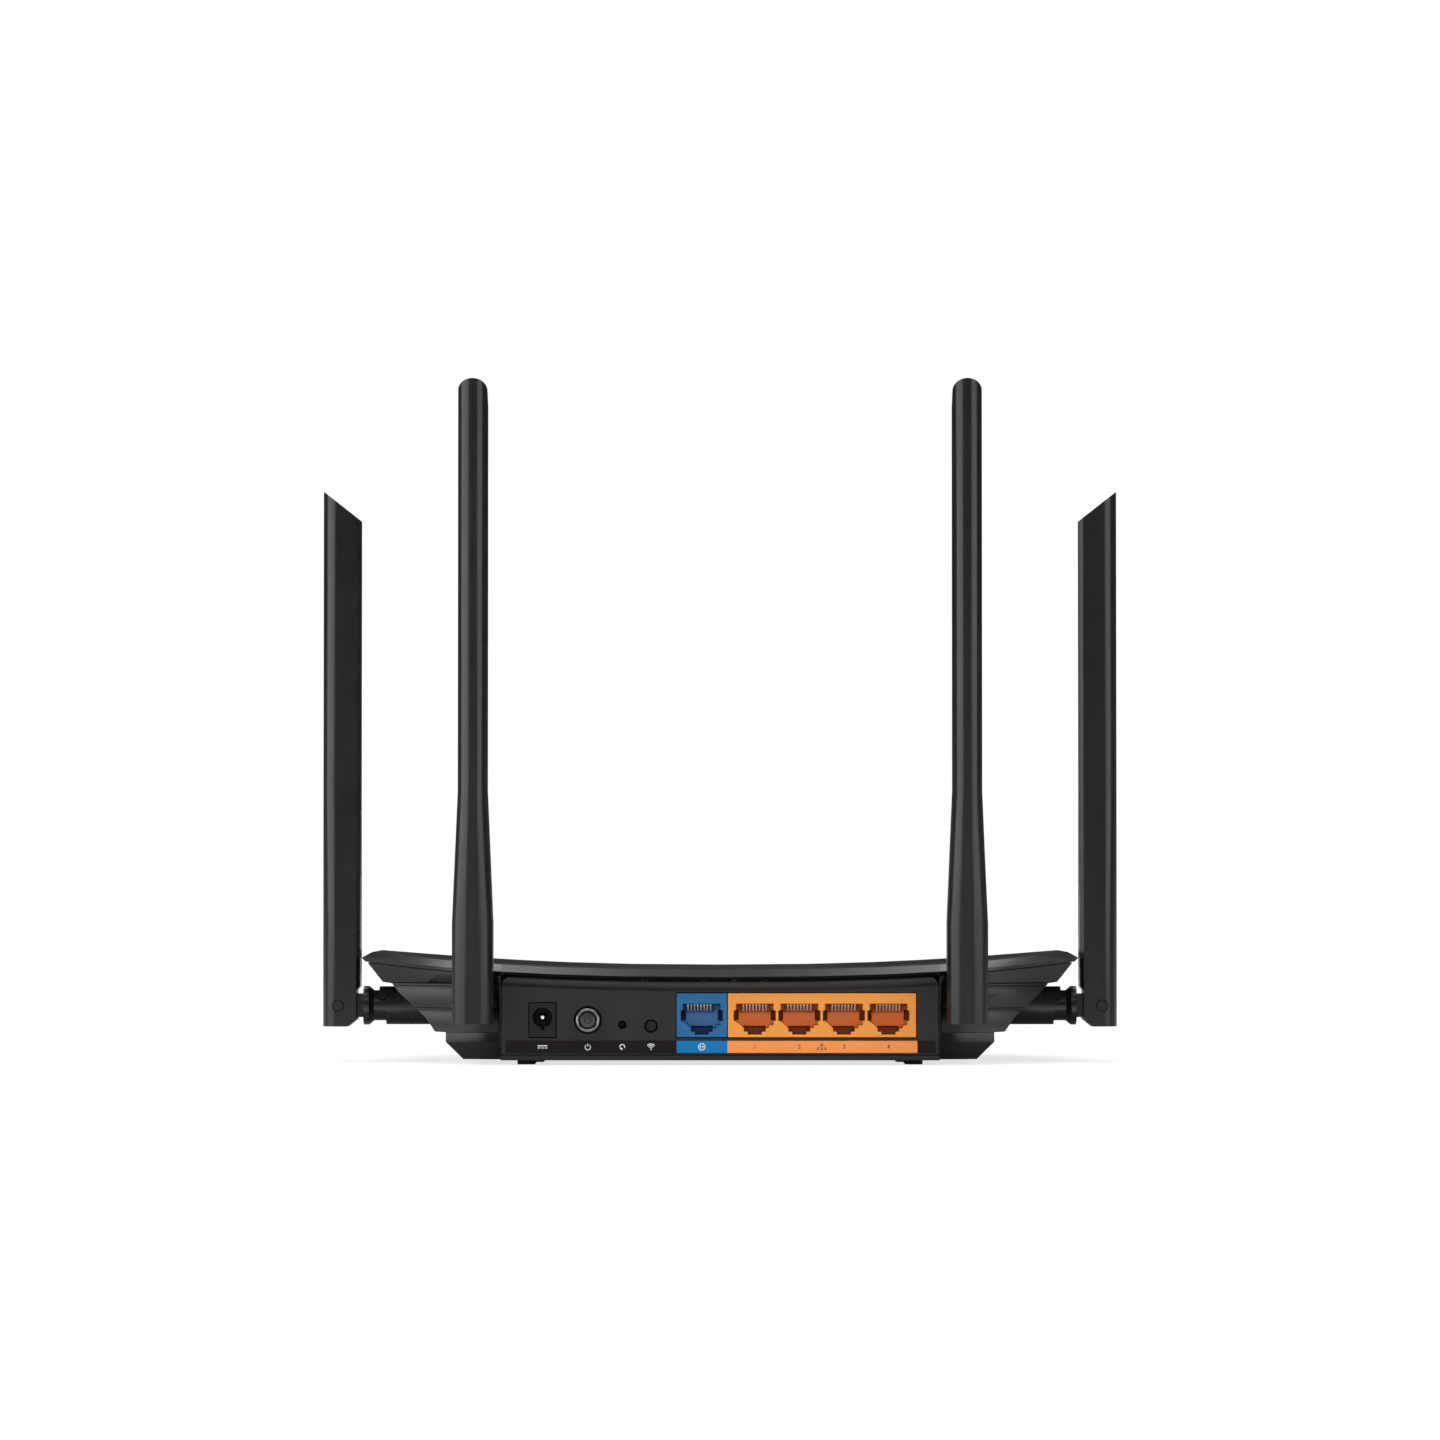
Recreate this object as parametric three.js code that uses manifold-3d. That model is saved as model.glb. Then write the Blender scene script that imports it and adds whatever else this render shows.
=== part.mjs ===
// A desktop wireless router with two tall rear antennas and two shorter side antennas.
// Millimetres, +Z up. The ports face -Y, +X is to the right when looking at the ports,
// and the origin is on the table under the centre of the whole object.
import * as THREE from "three";
import { mergeVertices } from "three/addons/utils/BufferGeometryUtils.js";
import Module from "manifold-3d";

const wasm = await Module();
wasm.setup();

// ---------------------------------------------------------------- driving dimensions

const GAP = 0.3; // clearance between pieces that only touch

// Antenna, measured from its hinge pin: spine is the outer face, heel the face next to the case.
const SPINE = 5.1;
const HEEL = 7.0;
const FOOT_DROP = 6.7; // the blade's bottom end below the pin
const BLADE_HALF_LOW = 6.4;
const BLADE_HALF_HIGH = 4.6;
const TAPER_START = 24.4;
const TAPER_END = 66;
const TIP_SLANT = 9.5; // how far the slanted tip falls from spine to heel
const REAR_BLADE_TOP = 194.6;
const SIDE_BLADE_TOP = 164.6;
const HEEL_CLEARANCE = 1.0; // between a blade's heel and the case behind it

// Case: the rim of the top cover is its widest outline.
const CASE_HALF_WIDTH = 114;
const CASE_DEPTH = 144;
const OVERHANG = HEEL_CLEARANCE + HEEL + SPINE; // how far a rear blade stands behind the case
const REAR_Y = -(CASE_DEPTH - OVERHANG) / 2;
const FRONT_Y = REAR_Y + CASE_DEPTH;
const TOP_CENTRE_Z = 29.9;
const TOP_CURVE = 6.6e-5; // the top is a shallow trough that rises towards the wing tips
const TOP_CURVE_POWER = 2.4;
const SEAM_DROP = 3.3; // from the top surface down to the seam with the bottom case
const SKIN = 1.8;
const BASE_Z = 1.6; // underside of the bottom case, held up by the feet

// Port block: the middle of the rear wall, which stands behind the two swept corners.
const BLOCK_HALF = 68.6;
const PANEL_Y = REAR_Y + 1.4;
const LIP = 1.3; // how far the brow along the panel's upper edge stands out over its face
const PANEL_THICK = 2.0;
const PANEL_BOTTOM_Z = 3.4;
const PORT_FACE_Y = PANEL_Y + 0.2;

const BOARD_TOP_Z = 8.5;
const BOARD_THICK = 1.6;

const REAR_PIVOT = { x: 77.2, y: REAR_Y - HEEL_CLEARANCE - HEEL, z: 19.9 };
const SIDE_PIVOT = { x: CASE_HALF_WIDTH + HEEL_CLEARANCE + HEEL, y: -19, z: 18.0 };

const topZ = (x) => TOP_CENTRE_Z + TOP_CURVE * Math.abs(x) ** TOP_CURVE_POWER;

// ---------------------------------------------------------------- materials

const finish = (color, roughness, metalness = 0) =>
  new THREE.MeshStandardMaterial({ color, roughness, metalness });

const MATERIALS = {
  cover: finish(0x1b1b1c, 0.35),
  shell: finish(0x262627, 0.6),
  antenna: finish(0x2b2b2c, 0.5),
  blue: finish(0x2f6ea4, 0.5),
  orange: finish(0xe09040, 0.5),
  label: finish(0x1a1815, 0.5),
  gold: finish(0xd8b25a, 0.3, 1),
  steel: finish(0xb8babd, 0.35, 1),
  button: finish(0x6a686a, 0.35),
  rubber: finish(0x0c0c0c, 0.9),
  board: finish(0x14492c, 0.6),
  chip: finish(0x18181a, 0.55),
  aluminium: finish(0xc2c4c6, 0.4, 1),
  clear: finish(0xdfe6ea, 0.15),
  cable: finish(0x3a3a3c, 0.5),
};

// ---------------------------------------------------------------- solid helpers

function solid(geometry) {
  const bare = geometry.index ? geometry.toNonIndexed() : geometry.clone();
  bare.deleteAttribute("normal");
  bare.deleteAttribute("uv");
  const merged = mergeVertices(bare, 1e-4);
  return new wasm.Manifold(
    new wasm.Mesh({
      numProp: 3,
      vertProperties: merged.attributes.position.array,
      triVerts: new Uint32Array(merged.index.array),
    }),
  );
}

function geometryOf(body) {
  const mesh = body.getMesh();
  const positions = new Float32Array(mesh.numVert * 3);
  for (let i = 0; i < mesh.numVert; i++) {
    const start = i * mesh.numProp;
    positions.set(mesh.vertProperties.subarray(start, start + 3), i * 3);
  }
  return new THREE.BufferGeometry()
    .setAttribute("position", new THREE.BufferAttribute(positions, 3))
    .setIndex(new THREE.BufferAttribute(mesh.triVerts, 1));
}

const union = (bodies) => bodies.reduce((whole, body) => whole.add(body));
const cut = (body, tools) => tools.reduce((left, tool) => left.subtract(tool), body);

function box(x0, x1, y0, y1, z0, z1) {
  const geometry = new THREE.BoxGeometry(x1 - x0, y1 - y0, z1 - z0);
  return solid(geometry.translate((x0 + x1) / 2, (y0 + y1) / 2, (z0 + z1) / 2));
}

const shapeOf = (points) => new THREE.Shape(points.map(([a, b]) => new THREE.Vector2(a, b)));

function extrude(shape, depth, curveSegments = 6) {
  return new THREE.ExtrudeGeometry(shape, { depth, bevelEnabled: false, curveSegments });
}

// The shape's own axes become X and Y; it is extruded from z0 to z1.
const prismZ = (shape, z0, z1, curveSegments) =>
  solid(extrude(shape, z1 - z0, curveSegments).translate(0, 0, z0));

// The shape's own axes become X and Z; it is extruded from y0 to y1.
const prismY = (shape, y0, y1) =>
  solid(extrude(shape, y1 - y0).rotateX(Math.PI / 2).translate(0, y1, 0));

const TO_X = new THREE.Matrix4().makeBasis(
  new THREE.Vector3(0, 1, 0),
  new THREE.Vector3(0, 0, 1),
  new THREE.Vector3(1, 0, 0),
);

// The shape's own axes become Y and Z; it is extruded from x0 to x1.
const prismX = (shape, x0, x1) =>
  solid(extrude(shape, x1 - x0).applyMatrix4(TO_X).translate(x0, 0, 0));

// A turned piece. profile is a list of [radius, height]; it starts and ends on the axis.
function turned(profile, axis, centre = [0, 0, 0], segments = 16) {
  const points = profile.map(([r, h]) => new THREE.Vector2(r, h));
  const geometry = new THREE.LatheGeometry(points, segments);
  if (axis === "z") geometry.rotateX(Math.PI / 2);
  if (axis === "x") geometry.rotateZ(-Math.PI / 2);
  return solid(geometry.translate(...centre));
}

// A round bar or a round cutter from one height to another along an axis.
const bar = (radius, from, to, axis, centre, segments = 16) =>
  turned([[0, from], [radius, from], [radius, to], [0, to]], axis, centre, segments);

// A closed solid through stacked rings, listed from the bottom up. Each ring is a list of
// [x, y, z], anticlockwise from above, and both ends are closed with strips between the ring's halves.
function loft(rings) {
  const count = rings[0].length;
  const positions = rings.flat(2);
  const index = [];
  const at = (ring, i) => ring * count + (i % count);
  for (let k = 0; k + 1 < rings.length; k++)
    for (let i = 0; i < count; i++)
      index.push(
        at(k, i), at(k, i + 1), at(k + 1, i + 1),
        at(k, i), at(k + 1, i + 1), at(k + 1, i),
      );
  const last = rings.length - 1;
  for (let i = 0; 2 * i + 2 < count; i++) {
    const j = count - 1 - i;
    for (const corners of [[i, i + 1, j - 1], [i, j - 1, j]]) {
      if (new Set(corners).size < 3) continue;
      index.push(...corners.map((c) => at(last, c)));
      index.push(...corners.reverse().map((c) => at(0, c)));
    }
  }
  const geometry = new THREE.BufferGeometry();
  geometry.setAttribute("position", new THREE.Float32BufferAttribute(positions, 3));
  geometry.setIndex(index);
  return solid(geometry);
}

// ---------------------------------------------------------------- the assembly

const router = new THREE.Group();

function place(name, body, material, parent = router) {
  const mesh = new THREE.Mesh(geometryOf(body), material);
  mesh.name = name;
  parent.add(mesh);
  return mesh;
}

// ---------------------------------------------------------------- case outline

const BLOCK_STEP = 2.4; // width of the slanting step from the port block to the swept corner
const STATIONS = [
  0, 30, 52, BLOCK_HALF, BLOCK_HALF + BLOCK_STEP, 80, 89, 97, 104, 109.5, 112.6, CASE_HALF_WIDTH,
];
const REAR_SWEEP = 28.8; // how far the rear edge has moved forward at the wing tip
const REAR_SWEEP_POWER = 1.5;
const FRONT_SWEEP = 50;
const FRONT_SWEEP_POWER = 6;

// How far the swept corner has moved forward at x: 0 beside the port block, most at the wing tip.
const sweepAt = (x) => {
  const start = BLOCK_HALF + BLOCK_STEP;
  const along = Math.max(0, (x - start) / (CASE_HALF_WIDTH - start));
  return REAR_SWEEP * along ** REAR_SWEEP_POWER;
};

// One ring of the case. side is its half width, front how far it is inset at the front,
// block the inset of the port block and corner the inset beside it.
function caseRing({ side, front, block, corner, z }) {
  const rear = [];
  const fore = [];
  for (const x of STATIONS) {
    const outside = x > BLOCK_HALF;
    const stretch = (side - BLOCK_HALF) / (CASE_HALF_WIDTH - BLOCK_HALF);
    const px = outside ? BLOCK_HALF + (x - BLOCK_HALF) * stretch : x;
    rear.push([px, REAR_Y + (outside ? corner + sweepAt(px) : block)]);
    const share = x / CASE_HALF_WIDTH;
    fore.push([share * side, FRONT_Y - front - (FRONT_SWEEP - front) * share ** FRONT_SWEEP_POWER]);
  }
  const mirrored = ([x, y]) => [-x, y];
  const outline = [
    ...rear.slice(1).reverse().map(mirrored),
    ...rear,
    ...fore.slice().reverse(),
    ...fore.slice(1).map(mirrored),
  ];
  return outline.map(([x, y]) => [x, y, typeof z === "function" ? z(x) : z]);
}

// Outer levels of the bottom case, from the underside to the seam.
const insetFront = (side) => 0.6 * (CASE_HALF_WIDTH - side);
const LEVELS = [
  { side: 81, corner: 13, z: BASE_Z },
  { side: 86.6, corner: 10.6, z: 7.0 },
  { side: 86.6, corner: 11.2, z: 9.6 },
  { side: 86.6, corner: 11.2, z: 10.0 },
  { side: 90.0, corner: 9.6, z: 10.2 },
  { side: 93.0, corner: 8.9, z: 14.6 },
  { side: 95.6, corner: 9.4, z: 16.9 },
  { side: 95.9, corner: 10.3, z: 17.1 },
  { side: 96.2, corner: 10.3, z: 17.5 },
  { side: 96.6, corner: 9.6, z: 17.8 },
  { side: 102.0, corner: 8.9, z: 22.7 },
  { side: 103.6, corner: 9.4, z: 24.6 },
  { side: 103.9, corner: 10.3, z: 24.8 },
  { side: 104.2, corner: 10.3, z: 25.3 },
  { side: 107.2, corner: 9.2, z: 25.7 },
  { side: 112.1, corner: 5.6, z: (x) => topZ(x) - SEAM_DROP - GAP },
];

const raised = (z, lift) => (typeof z === "function" ? (x) => z(x) + lift : z + lift);

// ---------------------------------------------------------------- top cover

const RIM_CHAMFER = 3.4;
const RIM_CHAMFER_DROP = 2.2;
const RIM_UNDERCUT = 1.2;

function rimRing(inset, drop) {
  return caseRing({
    side: CASE_HALF_WIDTH - inset,
    front: inset,
    block: inset,
    corner: 3.2 + inset,
    z: (x) => topZ(x) - drop,
  });
}

// A bar with round ends, as a shape in the XY plane, turned by an angle.
function slotShape(cx, cy, length, width, angle = 0) {
  const r = width / 2;
  const half = length / 2 - r;
  const shape = new THREE.Shape();
  const turn = (x, y) => [
    cx + x * Math.cos(angle) - y * Math.sin(angle),
    cy + x * Math.sin(angle) + y * Math.cos(angle),
  ];
  shape.absarc(...turn(0, half), r, angle, angle + Math.PI, false);
  shape.absarc(...turn(0, -half), r, angle + Math.PI, angle + 2 * Math.PI, false);
  return shape;
}

const VENT = { count: 8, first: 44, pitch: 7, width: 2.2, lean: 0.42 };
const ventLength = (i) => 66 - 3.8 * i;
const VENT_Y = 8;

function topVents() {
  const tools = [];
  for (const side of [-1, 1])
    for (let i = 0; i < VENT.count; i++) {
      const x = side * (VENT.first + i * VENT.pitch);
      const shape = slotShape(x, VENT_Y, ventLength(i), VENT.width, -side * VENT.lean);
      tools.push(prismZ(shape, TOP_CENTRE_Z - 6, TOP_CENTRE_Z + 12, 2));
    }
  return tools;
}

const WINDOW = { half: 31, back: FRONT_Y - 15, front: FRONT_Y - 9 };
const POSTS = [[-70, -30], [70, -30], [-70, 42], [70, 42]];
const POST_RADIUS = 3.0;
const POST_BOTTOM_Z = 9.4;

function makeTopCover() {
  const outer = loft([
    rimRing(RIM_UNDERCUT, SEAM_DROP),
    rimRing(0, RIM_CHAMFER_DROP),
    rimRing(RIM_CHAMFER, 0),
  ]);
  const pocket = loft([rimRing(RIM_UNDERCUT + 2.6, SEAM_DROP + 1), rimRing(RIM_UNDERCUT + 2.6, SKIN)]);
  const posts = POSTS.map(([x, y]) =>
    bar(POST_RADIUS, POST_BOTTOM_Z, topZ(x) - SKIN / 2, "z", [x, y, 0], 12),
  );
  const pilots = POSTS.map(([x, y]) => bar(1.5, POST_BOTTOM_Z - 1, 24, "z", [x, y, 0], 12));
  const { half, back, front } = WINDOW;
  const window = box(-half, half, back, front, TOP_CENTRE_Z - 5, TOP_CENTRE_Z + 5);
  const shell = cut(outer, [pocket, window, ...topVents()]);
  place("top_cover", cut(union([shell, ...posts]), pilots), MATERIALS.cover);
}

// The smoked strip that covers the indicator lights, and the light guide under it.
function makeIndicators() {
  const { half, back, front } = WINDOW;
  const stations = [-half + GAP, -half / 2, 0, half / 2, half - GAP];
  const ring = (drop) => [
    ...stations.map((x) => [x, back + GAP, topZ(x) - drop]),
    ...stations.slice().reverse().map((x) => [x, front - GAP, topZ(x) - drop]),
  ];
  place("indicator_window", loft([ring(1.5), ring(0.0)]), MATERIALS.cover);

  const lamps = [-25, -15, -5, 5, 15, 25];
  const middle = (back + front) / 2;
  const top = TOP_CENTRE_Z - 2.4;
  const finger = shapeOf([
    [47, 10.4], [50, 10.4], [middle + 1.4, top - 3.4],
    [middle + 1.4, top], [middle - 1.4, top], [middle - 1.4, top - 2.4], [47, 13],
  ]);
  const fingers = lamps.map((x) => prismX(finger, x - 1.3, x + 1.3));
  const bridge = box(-26.3, 26.3, 54.5, 57.5, 15.6, 17.2);
  place("light_guide", union([bridge, ...fingers]), MATERIALS.clear);
}

// ---------------------------------------------------------------- bottom case

const WALL = 1.8;
const FLOOR_LIFT = 1.7;
const BOSS_RADIUS = 6.1;
const BOSS_BORE = 5.15;
const SIDE_BOSS = { outer: SIDE_PIVOT.x - 13.1, inner: 88 };
const REAR_BOSS = { outer: REAR_PIVOT.y + 13.1, inner: REAR_Y + 25 };
const MOUTH_NOTCH = { deep: 2.2, z: 20.2 }; // the side bosses' mouths are cut back below this height
const BOARD_SCREWS = [[-58, 6], [58, 6]];
const FEET = [[-59.6, REAR_Y + 20], [59.6, REAR_Y + 20], [-59.6, 44], [59.6, 44]];
const FOOT_PAD = { half: 4.2, long: 7 };

function bossTubes(radius, overrun, segments) {
  const tubes = [];
  for (const side of [-1, 1]) {
    const [near, far] = [SIDE_BOSS.inner - overrun, SIDE_BOSS.outer + overrun];
    const from = side > 0 ? near : -far;
    const to = side > 0 ? far : -near;
    tubes.push(bar(radius, from, to, "x", [0, SIDE_PIVOT.y, SIDE_PIVOT.z], segments));
    const centre = [side * REAR_PIVOT.x, 0, REAR_PIVOT.z];
    const [mouth, end] = [REAR_BOSS.outer - overrun, REAR_BOSS.inner + overrun];
    tubes.push(bar(radius, mouth, end, "y", centre, segments));
  }
  return tubes;
}

function mouthNotches() {
  const { deep, z } = MOUTH_NOTCH;
  const reach = BOSS_RADIUS + 1;
  const [near, far] = [SIDE_BOSS.outer - deep, SIDE_BOSS.outer + 1];
  const [y0, y1, z0] = [SIDE_PIVOT.y - reach, SIDE_PIVOT.y + reach, SIDE_PIVOT.z - reach];
  return [box(near, far, y0, y1, z0, z), box(-far, -near, y0, y1, z0, z)];
}

const BASE_VENT = { rows: 2, count: 9, pitch: 8, length: 24, width: 2.6 };

function baseVents() {
  const tools = [];
  const middle = (BASE_VENT.count - 1) / 2;
  for (let row = 0; row < BASE_VENT.rows; row++)
    for (let i = 0; i < BASE_VENT.count; i++) {
      const x = (i - middle) * BASE_VENT.pitch;
      const shape = slotShape(x, -14 + row * 32, BASE_VENT.length, BASE_VENT.width);
      tools.push(prismZ(shape, BASE_Z - 1, BASE_Z + 3, 2));
    }
  return tools;
}

function makeBottomCase() {
  const outer = loft(LEVELS.map((l) => caseRing({ block: 0.5, front: insetFront(l.side), ...l })));
  const inner = LEVELS.map((l) => ({
    block: 3,
    ...l,
    front: insetFront(l.side) + WALL,
    side: l.side - WALL,
    corner: l.corner + WALL,
    z: raised(l.z, FLOOR_LIFT),
  }));
  const last = inner[inner.length - 1];
  inner.push({ ...last, z: raised(last.z, 3) });
  const shell = outer.subtract(loft(inner.map(caseRing)));

  // The port block's rear wall is open above its sill: the rear panel closes it.
  const opening = box(
    -BLOCK_HALF + 1.2, BLOCK_HALF - 1.2, REAR_Y - 1, REAR_Y + 3.5, PANEL_BOTTOM_Z - 0.2, 40,
  );
  const ledge = box(-BLOCK_HALF - 3, BLOCK_HALF + 3, REAR_Y - 1, PANEL_Y + PANEL_THICK + GAP, PANEL_BOTTOM_Z - GAP, 40);
  const bosses = bossTubes(BOSS_RADIUS, 0, 20);
  const bores = bossTubes(BOSS_BORE, 1, 16);
  const screwTubes = POSTS.map(([x, y]) => bar(3.6, BASE_Z + 1, 8.9, "z", [x, y, 0], 12));
  const screwHoles = POSTS.flatMap(([x, y]) => [
    bar(1.7, BASE_Z - 1, 10, "z", [x, y, 0], 12),
    bar(2.9, BASE_Z - 1, BASE_Z + 2.2, "z", [x, y, 0], 12),
  ]);
  const standoffs = BOARD_SCREWS.map(([x, y]) =>
    bar(2.6, BASE_Z + 1, BOARD_TOP_Z - BOARD_THICK - GAP, "z", [x, y, 0], 12),
  );
  const standoffHoles = BOARD_SCREWS.map(([x, y]) => bar(1.3, 3.6, 12, "z", [x, y, 0], 12));
  const footPockets = FEET.map(([x, y]) => {
    const reach = FOOT_PAD.half + GAP;
    return box(x - reach, x + reach, y - FOOT_PAD.long - GAP, y + FOOT_PAD.long + GAP, 0, BASE_Z + 0.7);
  });
  const whole = union([shell.subtract(opening).subtract(ledge), ...bosses, ...screwTubes, ...standoffs]);
  const drilled = cut(whole, [
    ...bores, ...mouthNotches(), ...screwHoles, ...standoffHoles, ...footPockets, ...baseVents(),
  ]);
  place("bottom_case", drilled, MATERIALS.shell);
}

// A stepped rubber foot: a wide pad in a pocket of the case, and a narrower tread on the outside.
function makeFeet() {
  const names = ["foot_rear_left", "foot_rear_right", "foot_front_left", "foot_front_right"];
  FEET.forEach(([x, y], i) => {
    const side = Math.sign(x);
    const { half, long } = FOOT_PAD;
    const pad = box(x - half, x + half, y - long, y + long, 0.75, BASE_Z + 0.4);
    const inner = x + side * half;
    const outer = x + side * (half - 5.6);
    const tread = box(Math.min(inner, outer), Math.max(inner, outer), y - long, y + long, 0, 1);
    place(names[i], pad.add(tread), MATERIALS.rubber);
  });
}

function makeCaseScrews() {
  const names = ["rear_left", "rear_right", "front_left", "front_right"];
  POSTS.forEach(([x, y], i) => {
    const head = BASE_Z + 0.5;
    const screw = turned(
      [[0, head], [2.5, head], [2.5, head + 1.4], [1.2, head + 1.4], [1.2, 18], [0.4, 19], [0, 19]],
      "z", [x, y, 0], 10,
    );
    const driveSlot = box(x - 1.6, x + 1.6, y - 0.35, y + 0.35, head - 1, head + 0.7);
    const crossSlot = box(x - 0.35, x + 0.35, y - 1.6, y + 1.6, head - 1, head + 0.7);
    place(`case_screw_${names[i]}`, cut(screw, [driveSlot, crossSlot]), MATERIALS.steel);
  });
}

// ---------------------------------------------------------------- rear panel and its label

const BLUE_JACK = { x0: -13.6, x1: 2.2, z0: 8.8, z1: 22.6 };
const ORANGE_JACK = { x0: 2.5, x1: 61.4, z0: 8.8, z1: 22.6 };
const DC_JACK = { x: -55.6, z: 15.0, half: 4.15, z0: 8.8, z1: 19.5, hole: 3.1, pin: 1.0 };
const POWER = { x: -41.4, z: 14.2, radius: 3.9, hole: 4.4, travel: 1.8 };
const RESET = { x: -30.6, z: 12.7, radius: 1.0, hole: 1.4, travel: 0.5 };
const PAIRING = { x: -21.6, z: 12.3, radius: 1.6, hole: 2.15, travel: 0.6 };
const STRIP = { x0: -67, x1: 67.4, z0: 3.9, z1: 7.7, deep: 0.5, thick: 0.3 };

function makeRearPanel() {
  const half = BLOCK_HALF - 0.2;
  const back = PANEL_Y + PANEL_THICK;
  const stations = [-half, -52, -36, -18, 0, 18, 36, 52, half];
  const ring = (y0, zOf) => [
    ...stations.map((x) => [x, y0, zOf(x)]),
    ...stations.slice().reverse().map((x) => [x, back, zOf(x)]),
  ];
  const under = (drop) => (x) => topZ(x) - SEAM_DROP - GAP - drop;
  const brow = [[0, 3.0], [0.5, 2.5], [0.9, 2.0], [1, 1.5], [0.9, 1.0], [0.55, 0.4], [0.2, 0]];
  const slab = loft([
    ring(PANEL_Y, () => PANEL_BOTTOM_Z),
    ...brow.map(([out, drop]) => ring(PANEL_Y - LIP * out, under(drop))),
  ]);

  // Round the two upper corners of the panel.
  const radius = 3.2;
  const cornerTop = topZ(half) - SEAM_DROP;
  const rounders = [-1, 1].map((side) => {
    const shape = new THREE.Shape();
    shape.moveTo(side * (half + 1), cornerTop + 1);
    shape.lineTo(side * (half - radius), cornerTop + 1);
    shape.lineTo(side * (half - radius), cornerTop - 0.4);
    const steps = 5;
    for (let i = 1; i <= steps; i++) {
      const angle = (i / steps) * (Math.PI / 2);
      shape.lineTo(
        side * (half - radius + radius * Math.sin(angle)),
        cornerTop - 0.4 - radius + radius * Math.cos(angle),
      );
    }
    shape.lineTo(side * (half + 1), cornerTop - 0.4 - radius);
    return prismY(shape, PANEL_Y - LIP - 1, back + 1);
  });

  const through = [PANEL_Y - 2, back + 1];
  const windows = [
    box(BLUE_JACK.x0 - GAP, ORANGE_JACK.x1 + GAP, ...through, BLUE_JACK.z0 - GAP, BLUE_JACK.z1 + GAP),
    box(DC_JACK.x - DC_JACK.half - GAP, DC_JACK.x + DC_JACK.half + GAP, ...through,
      DC_JACK.z0 - GAP, DC_JACK.z1 + GAP),
    ...[POWER, RESET, PAIRING].map((b) => bar(b.hole, ...through, "y", [b.x, 0, b.z], 20)),
  ];
  const { x0, x1, z0, z1, deep } = STRIP;
  const recess = box(x0 - 0.2, x1 + 0.2, PANEL_Y - 1, PANEL_Y + deep, z0 - 0.2, z1 + 0.2);
  place("rear_panel", cut(slab, [...rounders, ...windows, recess]), MATERIALS.shell);
}

function makeLabelStrip() {
  const { x0, x1, z0, z1, deep, thick } = STRIP;
  const face = PANEL_Y + deep - 0.1 - thick;
  place("port_label", box(x0, x1, face, face + thick, z0, z1), MATERIALS.label);
}

// ---------------------------------------------------------------- network jacks

const SOCKET = { half: 5.9, top: 19.3, bottom: 11.6, depth: 12, deep: 15.4 };
const JACK_DEPTH = 17;
const CONTACT = { count: 8, pitch: 1.02, width: 0.46, thick: 0.4 };
const BLUE_PORT_X = -5.7;
const ORANGE_PORTS_X = [0, 1, 2, 3].map((i) => 10.9 + i * 13.97);

// The outline of the space that a plug's body fills.
function socketShape(x) {
  const { half, top, bottom } = SOCKET;
  const right = [
    [half, top], [half, 12.5], [half - 1.4, 12.5], [half - 1.4, bottom], [3.4, bottom],
  ];
  const left = [[-3.4, bottom], [-half + 0.6, 13.4], [-half, 13.4], [-half, top]];
  return shapeOf([...right, ...left].map(([a, z]) => [x + a, z]));
}

// The plug's space, with deeper notches beside it and a stepped slot for the latch below it.
function socketHole(x) {
  const { half, bottom, depth, deep } = SOCKET;
  const [front, back] = [PORT_FACE_Y - 1, PORT_FACE_Y + deep];
  return union([
    prismY(socketShape(x), front, PORT_FACE_Y + depth),
    box(x - half - 0.7, x - half + 0.8, front, back, 13.9, 17.2),
    box(x + half - 0.8, x + half + 0.7, front, back, 13.9, 17.2),
    box(x - 3.4, x + 3.4, front, back, 10.5, bottom + 0.5),
    box(x - 2.2, x + 2.2, front, back, 9.6, bottom + 0.5),
  ]);
}

// Eight sprung wires that slope down from the socket's roof to a carrier at its back.
function contactSet(x) {
  const carrier = box(
    x - 4.7, x + 4.7, PORT_FACE_Y + 9.2, PORT_FACE_Y + SOCKET.depth - GAP, 16.5, SOCKET.top - GAP,
  );
  const { count, pitch, width, thick } = CONTACT;
  const [y0, y1] = [PORT_FACE_Y + 5.0, PORT_FACE_Y + 9.6];
  const [high, low] = [SOCKET.top - GAP, 16.7];
  const wire = shapeOf([[y0, high - thick], [y1, low], [y1, low + thick], [y0 + 0.4, high], [y0, high]]);
  const wires = Array.from({ length: count }, (_, i) => {
    const centre = x + (i - (count - 1) / 2) * pitch;
    return prismX(wire, centre - width / 2, centre + width / 2);
  });
  return union([carrier, ...wires]);
}

function makeNetworkJacks() {
  const body = ({ x0, x1, z0, z1 }) => box(x0, x1, PORT_FACE_Y, PORT_FACE_Y + JACK_DEPTH, z0, z1);
  place("internet_jack", body(BLUE_JACK).subtract(socketHole(BLUE_PORT_X)), MATERIALS.blue);
  place("internet_contacts", contactSet(BLUE_PORT_X - 0.8), MATERIALS.gold);
  place("ethernet_jack", cut(body(ORANGE_JACK), ORANGE_PORTS_X.map(socketHole)), MATERIALS.orange);
  ORANGE_PORTS_X.forEach((x, i) =>
    place(`ethernet_contacts_${i + 1}`, contactSet(x), MATERIALS.gold),
  );
}

// ---------------------------------------------------------------- power inlet

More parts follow.
